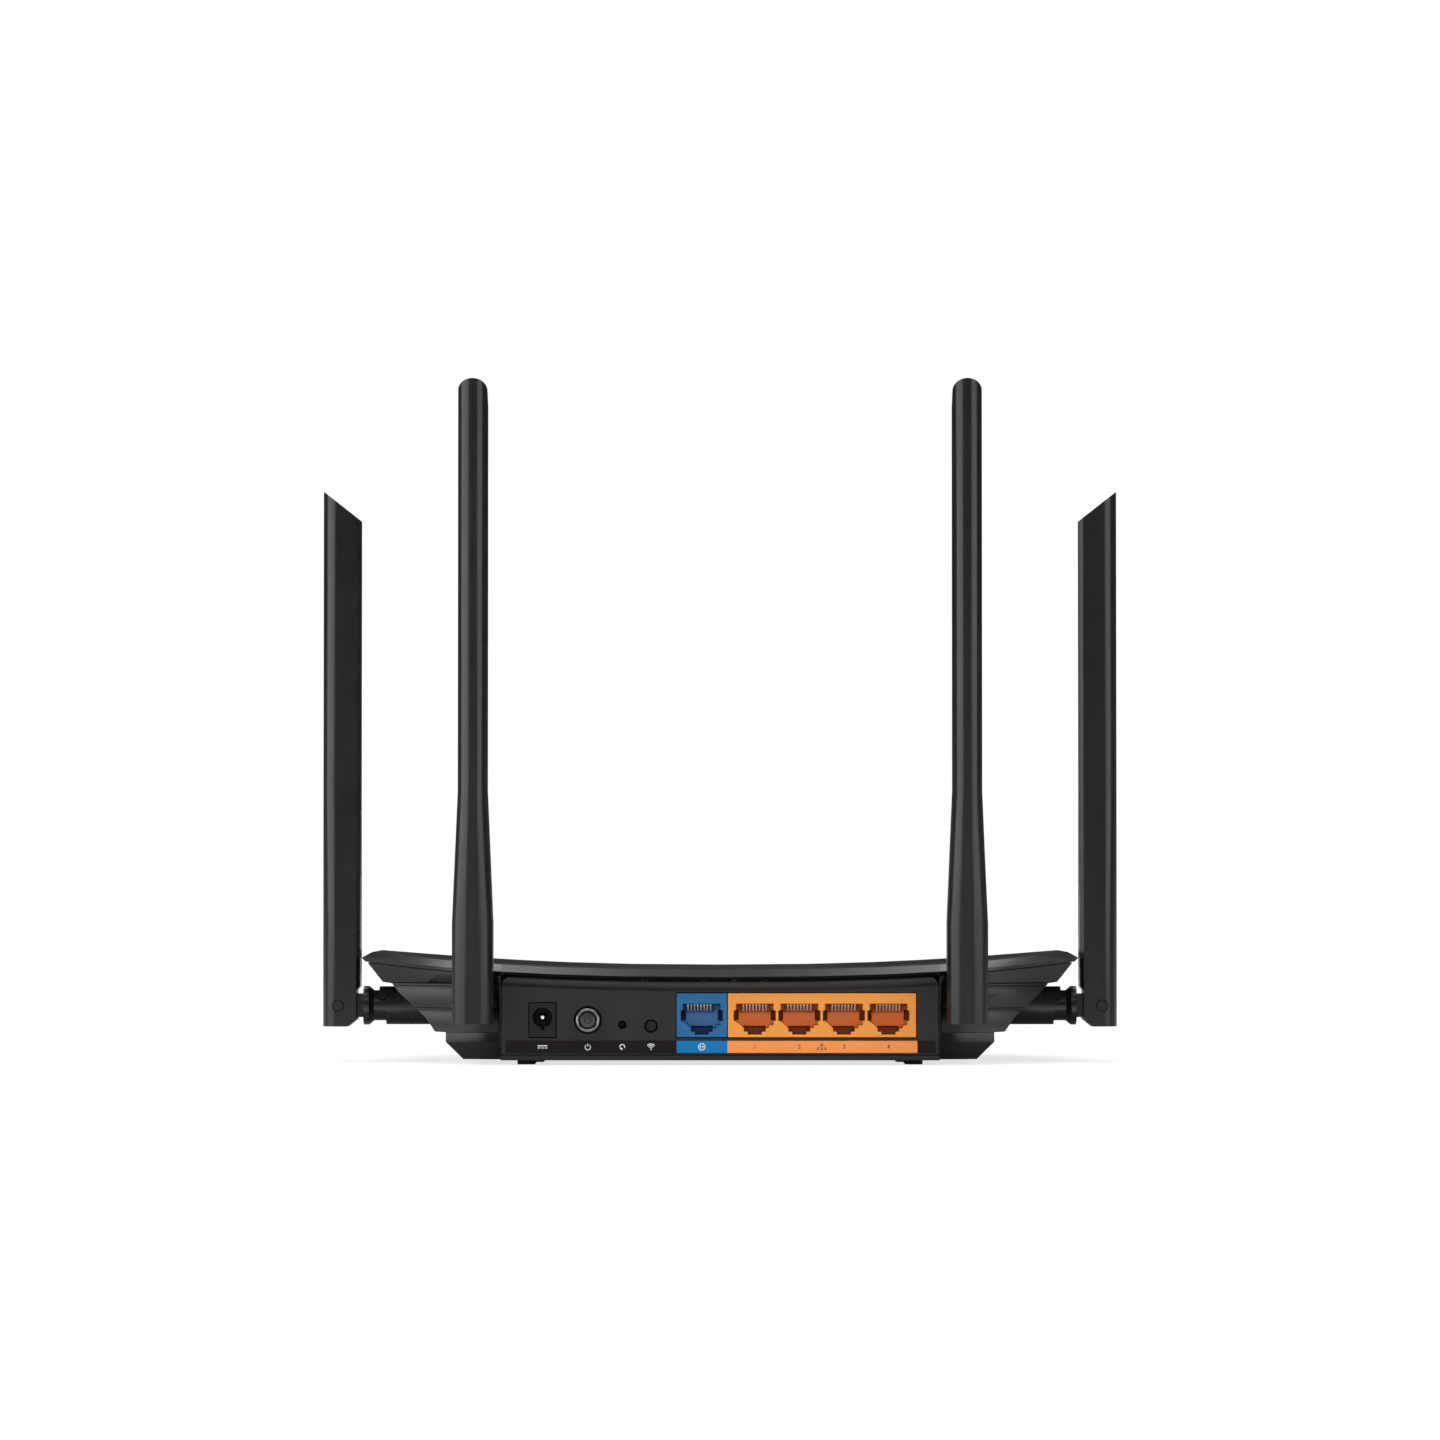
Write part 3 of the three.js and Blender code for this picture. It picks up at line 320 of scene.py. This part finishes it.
def printed_strip():
    """The label strip: black ends, a blue part under the blue socket and an orange part under the others."""
    low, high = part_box("port_label")
    blue_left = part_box("internet_jack")[0].x
    orange_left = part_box("ethernet_jack")[0].x - ORANGE_LEFT_MARGIN
    orange_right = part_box("ethernet_jack")[1].x + ORANGE_RIGHT_MARGIN
    bm = bmesh.new()
    columns = []
    for x in (low.x, blue_left, orange_left, orange_right, high.x):
        corners = [(low.y, low.z), (low.y, high.z), (high.y, high.z), (high.y, low.z)]
        columns.append([bm.verts.new((x, y, z)) for y, z in corners])
    for a, b, material in zip(columns, columns[1:], (0, 1, 2, 0)):
        for k in range(4):
            face = bm.faces.new((a[k], a[(k + 1) % 4], b[(k + 1) % 4], b[k]))
            face.material_index = material
    bm.faces.new(reversed(columns[0]))
    bm.faces.new(columns[-1])
    bmesh.ops.recalc_face_normals(bm, faces=bm.faces)
    mesh = mesh_from("printed_strip", bm)
    obj = piece("printed_strip", mesh, ["label_black", "label_blue", "label_orange"], "case")
    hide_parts("port_label")


def contact_inserts():
    """The block at the back of each contact set is part of the moulding, so it takes the socket's colour, in
    a darker copy that carries painted shade.
    """
    owners = {f"ethernet_contacts_{port}": "orange_dark" for port in PORTS}
    owners["internet_contacts"] = "blue_dark"
    for name, colour in owners.items():
        mesh = NODES[name].data
        mesh.materials.append(MATS[colour])
        block_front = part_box(name)[1].y - INSERT_DEPTH
        for polygon in mesh.polygons:
            if polygon.center.y > block_front:
                polygon.material_index = 1


def socket_depths():
    """Painted light makes the wall behind each plug space paler; painted shade darkens the slot ends beside
    and below it.
    """
    for name, colour in (("internet_jack", "blue"), ("ethernet_jack", "orange")):
        mesh = NODES[name].data
        mesh.materials.append(MATS[f"{colour}_deep"])
        mesh.materials.append(MATS[f"{colour}_dark"])
        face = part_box(name)[0].y
        for polygon in mesh.polygons:
            depth = polygon.center.y - face
            if polygon.normal.y < -0.5 and depth > SOCKET_LIP:
                polygon.material_index = 1 if depth < PLUG_SPACE else 2


# ------------------------------------------------------------------ turned pieces

TURN_STEPS = 64
ROUNDING_STEPS = 4


def lathe(bm, profile, centre):
    """Turns a closed profile of (radius, y) in metres about an axis along Y; both ends lie on the axis."""
    turn = [i / TURN_STEPS * 2 * math.pi for i in range(TURN_STEPS)]
    rings = []
    for r, y in profile:
        spokes = [(r * math.cos(a), r * math.sin(a)) for a in (turn if r else turn[:1])]
        rings.append([bm.verts.new((centre.x + x, y, centre.z + z)) for x, z in spokes])
    for a, b in zip(rings, rings[1:]):
        for i in range(TURN_STEPS):
            j = (i + 1) % TURN_STEPS
            corners = [a[i % len(a)], a[j % len(a)], b[j % len(b)], b[i % len(b)]]
            bm.faces.new(dict.fromkeys(corners)).smooth = True


def rounded(profile, radius):
    """Rounds every corner of a (radius, y) profile but its ends, over at most 45 percent of each side."""
    points = [Vector(p) for p in profile]
    result = [tuple(points[0])]
    for before, here, after in zip(points, points[1:], points[2:]):
        reach = min(radius, 0.45 * (before - here).length, 0.45 * (after - here).length)
        start = here + (before - here).normalized() * reach
        end = here + (after - here).normalized() * reach
        for k in range(ROUNDING_STEPS + 1):
            t = k / ROUNDING_STEPS
            point = start * (1 - t) ** 2 + here * 2 * t * (1 - t) + end * t * t
            result.append(tuple(point))
    result.append(tuple(points[-1]))
    return result


def power_button():
    """The push button: a metallised cap with a rounded rim, a deep groove in black as painted shade, and a
    slightly domed middle.
    """
    low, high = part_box("power_button")
    centre = (low + high) / 2
    radius = (high.x - low.x) / 2
    face, back = low.y, high.y
    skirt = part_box("rear_panel")[1].y + 0.6 * MM
    dome, groove, stem = 2.3 * MM, 2.85 * MM, 1.5 * MM
    profile = [
        (0, face + 0.32 * MM),
        (1.3 * MM, face + 0.36 * MM),
        (dome, face + 0.5 * MM),
        (2.5 * MM, face + 0.95 * MM),
        (2.75 * MM, face + 0.95 * MM),
        (2.95 * MM, face + 0.15 * MM),
        (3.25 * MM, face),
        (3.6 * MM, face + 0.1 * MM),
        (radius, face + 0.65 * MM),
        (radius, skirt),
        (stem, skirt),
        (stem, back),
        (0, back),
    ]
    bm = bmesh.new()
    lathe(bm, rounded(profile, 0.16 * MM), centre)
    bmesh.ops.recalc_face_normals(bm, faces=bm.faces)
    mesh = mesh_from("power_button_cap", bm)
    finish = ["button", "button_middle", "black"]
    obj = piece("power_button_cap", mesh, finish, "power_button_body")
    for polygon in mesh.polygons:
        out = math.hypot(polygon.center.x - centre.x, polygon.center.z - centre.z)
        # the faces in the groove take black: painted shade in the crease
        if out < groove:
            polygon.material_index = 1 if out < dome else 2
    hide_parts("power_button")
    mark = Icon(centre.x, centre.z, face + 0.34 * MM)
    mark.arc(0, 0, 1.0, 0.32, 125, 415)
    mark.bar(0, 0.25, 0, 1.3, 0.32)
    mark.make("power_button_mark", "black", "power_button_body", "black_plastic", thick=0.1)


# ------------------------------------------------------------------ printed marks


class Icon:
    """A flat mark of bars, boxes and arcs, in millimetres round a centre on a face that looks along -Y."""

    def __init__(self, x, z, face_y):
        self.x, self.z, self.y = x, z, face_y
        self.shapes = []

    def shape(self, *points):
        self.shapes.append([Vector(p) for p in points])

    def box(self, x, z, half_width, half_height):
        left, right, low, high = x - half_width, x + half_width, z - half_height, z + half_height
        self.shape((left, low), (right, low), (right, high), (left, high))

    def bar(self, x0, z0, x1, z1, width):
        """A straight stroke that runs a tenth of its width past both ends."""
        a, b = Vector((x0, z0)), Vector((x1, z1))
        along = (b - a).normalized() * width / 2
        across = Vector((-along.y, along.x))
        past = along * 0.2
        self.shape(a - past - across, b + past - across, b + past + across, a - past + across)

    def arc(self, cx, cz, radius, width, start, end, squeeze=1.0):
        """An arc in steps of about nine degrees, narrowed sideways by squeeze."""
        steps = max(8, int(abs(end - start) / 9))
        inner, outer = [], []
        for i in range(steps + 1):
            a = math.radians(start + (end - start) * i / steps)
            unit = Vector((math.cos(a) * squeeze, math.sin(a)))
            inner.append(Vector((cx, cz)) + unit * (radius - width / 2))
            outer.append(Vector((cx, cz)) + unit * (radius + width / 2))
        for i in range(steps):
            self.shape(inner[i], outer[i], outer[i + 1], inner[i + 1])

    def disc(self, cx, cz, radius):
        turn = [i / 20 * 2 * math.pi for i in range(20)]
        self.shape(*[(cx + radius * math.cos(a), cz + radius * math.sin(a)) for a in turn])

    def make(self, name, material, body, slot_name, thick=0.03):
        bm = bmesh.new()
        for shape in self.shapes:
            bm.faces.new([bm.verts.new((self.x + p.x * MM, self.y, self.z + p.y * MM)) for p in shape])
        bmesh.ops.remove_doubles(bm, verts=bm.verts, dist=0.002 * MM)
        made = bmesh.ops.extrude_face_region(bm, geom=list(bm.faces))
        moved = [v for v in made["geom"] if isinstance(v, bmesh.types.BMVert)]
        bmesh.ops.translate(bm, verts=moved, vec=(0, -thick * MM, 0))
        bmesh.ops.recalc_face_normals(bm, faces=bm.faces)
        piece(name, mesh_from(name, bm), [material], body)


def numeral(name, text, x, z, face_y, size):
    """A printed figure, size millimetres tall, on a face that looks along -Y."""
    curve = bpy.data.curves.new(name, "FONT")
    curve.body = text
    curve.size = size * MM
    curve.align_x, curve.align_y = "CENTER", "CENTER"
    curve.extrude = 0.015 * MM
    curve.offset = 0.04 * MM
    curve.resolution_u = 4
    shape = bpy.data.objects.new(name, curve)
    shape.matrix_world = Matrix.Translation((x, face_y, z)) @ Matrix.Rotation(math.pi / 2, 4, "X")
    bpy.context.scene.collection.objects.link(shape)
    bpy.context.view_layer.update()
    mesh = bpy.data.meshes.new_from_object(shape.evaluated_get(bpy.context.evaluated_depsgraph_get()))
    mesh.transform(shape.matrix_world)
    bpy.data.objects.remove(shape)
    mesh.materials.clear()
    piece(name, mesh, ["print_brown"], "case")


def middle_x(node):
    """The middle of a node from left to right."""
    low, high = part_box(node)
    return (low.x + high.x) / 2


def strip_marks():
    """Generic symbols under the inlet, the buttons and the first socket, and numbers under the others."""
    low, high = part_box("port_label")
    z, y = (low.z + high.z) / 2, low.y

    inlet = Icon(middle_x("power_inlet"), z, y)
    inlet.bar(-1.5, 0.35, 1.5, 0.35, 0.26)
    for x in (-1.1, 0, 1.1):
        inlet.bar(x - 0.32, -0.35, x + 0.32, -0.35, 0.26)

    power = Icon(middle_x("power_button"), z, y)
    power.arc(0, -0.08, 0.85, 0.2, 125, 415)
    power.bar(0, 0.15, 0, 1.0, 0.2)

    reset = Icon(middle_x("reset_button"), z, y)
    reset.arc(0, 0, 0.75, 0.2, -30, 250)
    reset.shape((-0.75, -0.72), (0.12, -0.98), (-0.06, -0.18))

    pairing = Icon(middle_x("pairing_button"), z, y)
    pairing.disc(0, -0.75, 0.2)
    for radius in (0.7, 1.2, 1.7):
        pairing.arc(0, -0.75, radius, 0.19, 45, 135)

    globe = Icon(middle_x("internet_jack"), z, y)
    globe.arc(0, 0, 1.05, 0.16, 0, 360)
    globe.arc(0, 0, 1.05, 0.16, 0, 360, squeeze=0.45)
    globe.bar(-1.05, 0, 1.05, 0, 0.14)

    white = {"power_inlet": inlet, "power_button": power, "reset_button": reset,
             "pairing_button": pairing, "internet_jack": globe}
    for node, icon in white.items():
        icon.make(f"mark_{node}", "print_white", "case", "label")

    ports = [middle_x(f"ethernet_contacts_{port}") for port in PORTS]
    for port, x in zip(PORTS, ports):
        numeral(f"mark_ethernet_{port}", str(port), x, z, y, 1.9)

    net = Icon((ports[1] + ports[2]) / 2, z, y)
    net.box(0, 0.65, 0.4, 0.3)
    for x in (-1.2, 0, 1.2):
        net.box(x, -0.7, 0.32, 0.25)
        net.bar(x, -0.45, x, -0.02, 0.13)
    net.bar(-1.2, -0.02, 1.2, -0.02, 0.13)
    net.bar(0, -0.02, 0, 0.35, 0.13)
    net.make("mark_ethernet", "print_brown", "case", "label")


printed_strip()
contact_inserts()
socket_depths()
strip_marks()
power_button()


# ------------------------------------------------------------------ stage

PALE = 1.0  # brightness of the backdrop
FLOOR_GLOW = 1.04 * PALE
FLOOR_GLOW_SHARE = 0.7  # the rest of what the camera sees on the floor is light and shadow
FLOOR_SIZE = 30  # metres to each side of the router and in front of its ports
ROOM = 0.015  # brightness of the walls as the router sees them
CEILING = 0.45  # brightness of the ceiling in highlights
STRIP_X = 0.295  # middle of each panel over the cover, out to the side
GLOW_X = 0.124  # middle of each small panel on the floor beside the rear corners
WHITE = (1, 1, 1, 1)


def pale_floor():
    """The camera sees a floor as pale as the backdrop, with a light shadow; it throws little light back."""
    g = Graph("floor", (0.9, 0.9, 0.9), 0.9, Specular_IOR_Level=0.0)
    g.bump((g.noise(40, 2), 0.02, 0.5 * MM))
    glow = g.node("ShaderNodeEmission", Strength=FLOOR_GLOW)
    dull = g.node("ShaderNodeBsdfDiffuse", Color=(0.6, 0.6, 0.6, 1))
    seen = g.node("ShaderNodeMixShader", Fac=FLOOR_GLOW_SHARE)
    g.links.new(g.shader.outputs["BSDF"], seen.inputs[1])
    g.links.new(glow.outputs["Emission"], seen.inputs[2])
    either = g.node("ShaderNodeMixShader", Fac=g.nodes.new("ShaderNodeLightPath").outputs["Is Camera Ray"])
    g.links.new(dull.outputs["BSDF"], either.inputs[1])
    g.links.new(seen.outputs["Shader"], either.inputs[2])
    g.links.new(either.outputs["Shader"], g.nodes["Material Output"].inputs["Surface"])
    return g.mat


def stage():
    """The floor that the router stands on, carried far enough back to meet the backdrop."""
    bm = bmesh.new()
    near, far = -FLOOR_SIZE, 2 * FLOOR_SIZE
    corners = [(-FLOOR_SIZE, near), (FLOOR_SIZE, near), (FLOOR_SIZE, far), (-FLOOR_SIZE, far)]
    bm.faces.new([bm.verts.new((x, y, 0)) for x, y in corners])
    mesh = mesh_from("floor", bm)
    floor = bpy.data.objects.new("floor", mesh)
    bpy.context.scene.collection.objects.link(floor)
    mesh.materials.append(pale_floor())


def room():
    """A dim room, whose ceiling is paler in highlights, behind a backdrop that only the camera sees."""
    world = bpy.data.worlds.new("studio")
    world.use_nodes = True
    nodes, links = world.node_tree.nodes, world.node_tree.links
    path = nodes.new("ShaderNodeLightPath")

    height = nodes.new("ShaderNodeSeparateXYZ")
    links.new(nodes.new("ShaderNodeTexCoord").outputs["Generated"], height.inputs["Vector"])
    ceiling = nodes.new("ShaderNodeMapRange")
    ceiling.inputs["From Min"].default_value = 0.1
    ceiling.inputs["From Max"].default_value = 0.8
    ceiling.inputs["To Max"].default_value = CEILING
    links.new(height.outputs["Z"], ceiling.inputs["Value"])
    strength = nodes.new("ShaderNodeMath")
    strength.operation = "MULTIPLY_ADD"
    links.new(ceiling.outputs["Result"], strength.inputs[0])
    links.new(path.outputs["Is Glossy Ray"], strength.inputs[1])
    strength.inputs[2].default_value = ROOM

    walls = nodes["Background"]
    walls.inputs["Color"].default_value = WHITE
    links.new(strength.outputs["Value"], walls.inputs["Strength"])
    backdrop = nodes.new("ShaderNodeBackground")
    backdrop.inputs["Color"].default_value = WHITE
    backdrop.inputs["Strength"].default_value = PALE
    either = nodes.new("ShaderNodeMixShader")
    links.new(path.outputs["Is Camera Ray"], either.inputs["Fac"])
    links.new(walls.outputs["Background"], either.inputs[1])
    links.new(backdrop.outputs["Background"], either.inputs[2])
    links.new(either.outputs["Shader"], nodes["World Output"].inputs["Surface"])
    bpy.context.scene.world = world


def aimed(name, data, at, target):
    """A light that the camera doesn't see, turned to a target."""
    obj = bpy.data.objects.new(name, data)
    obj.location = at
    obj.rotation_euler = (Vector(target) - Vector(at)).to_track_quat("-Z", "Y").to_euler()
    obj.visible_camera = False
    bpy.context.scene.collection.objects.link(obj)
    return obj


def panel_light(name, width, height, radiance):
    """A rectangular light whose face is equally bright at any size."""
    data = bpy.data.lights.new(name, "AREA")
    data.shape = "RECTANGLE"
    data.size, data.size_y = width, height
    data.energy = radiance * math.pi * width * height
    return data


def gloss_light(name, width, height, radiance, at, target):
    """A panel that shows only as a highlight."""
    aimed(name, panel_light(name, width, height, radiance), at, target).visible_diffuse = False


def softbox(name, azimuth, distance, width, height, radiance):
    """A tall soft box just above the floor; azimuth is measured from the port side, to the right.

    Only its lowest part shows in glossy surfaces, so a level surface mirrors it only at a low angle.
    """
    a = math.radians(azimuth)
    bottom, mirrored = 0.02, 0.4
    split = bottom + mirrored
    for part, low, high in (("low", bottom, split), ("high", split, bottom + height)):
        middle = (low + high) / 2
        light = panel_light(f"{name}_{part}", width, high - low, radiance)
        at = (distance * math.sin(a), -distance * math.cos(a), middle)
        aimed(light.name, light, at, (0, 0, middle)).visible_glossy = part == "low"


def lights():
    """An overhead light and a fill for plain light, highlights for the rim and faces, and two soft boxes."""
    sun = bpy.data.lights.new("overhead", "SUN")
    sun.energy = 3.2
    sun.angle = math.radians(60)
    aimed("overhead", sun, (-0.25, -0.5, 3), (0, 0, 0)).visible_glossy = False
    fill = panel_light("fill", width=1.0, height=0.5, radiance=9.5)
    aimed("fill", fill, (0, -2.2, 0.27), (0, 0, 0.05)).visible_glossy = False
    for name, x in (("left", -STRIP_X), ("right", STRIP_X)):
        gloss_light(f"strip_{name}", 0.5, 0.8, 3.9, (x, 0.12, 0.5), (x, 0.12, 0))
    gloss_light("low_front", 0.8, 0.06, 1.3, (0, -0.95, 0.03), (0, 0, 0.03))
    gloss_light("front_top", 0.9, 0.4, 1.8, (-0.15, -1.2, 0.95), (0, 0, 0.02))
    for name, x in (("left", -GLOW_X), ("right", GLOW_X)):
        gloss_light(f"glow_{name}", 0.05, 0.05, 1.8, (x, -0.07, 0.001), (x, -0.07, 1))
    softbox("left", azimuth=-62, distance=1.5, width=1.7, height=1.3, radiance=5.2)
    softbox("right", azimuth=52, distance=1.5, width=1.1, height=1.3, radiance=4.0)


def camera():
    """A long lens two metres away from the ports, just above the table, turned up by a degree and a half."""
    data = bpy.data.cameras.new("camera")
    data.lens = 159.5
    data.sensor_width = 36
    data.clip_end = 100
    obj = bpy.data.objects.new("camera", data)
    port_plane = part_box("ethernet_jack")[0].y
    distance, eye_height, aim_height = 2.0, 0.056, 0.1082
    obj.location = (0, port_plane - distance, eye_height)
    aim = Vector((0, port_plane, aim_height))
    obj.rotation_euler = (aim - obj.location).to_track_quat("-Z", "Y").to_euler()
    bpy.context.scene.collection.objects.link(obj)
    bpy.context.scene.camera = obj
    bpy.context.scene.view_settings.view_transform = "Standard"


stage()
room()
lights()
camera()
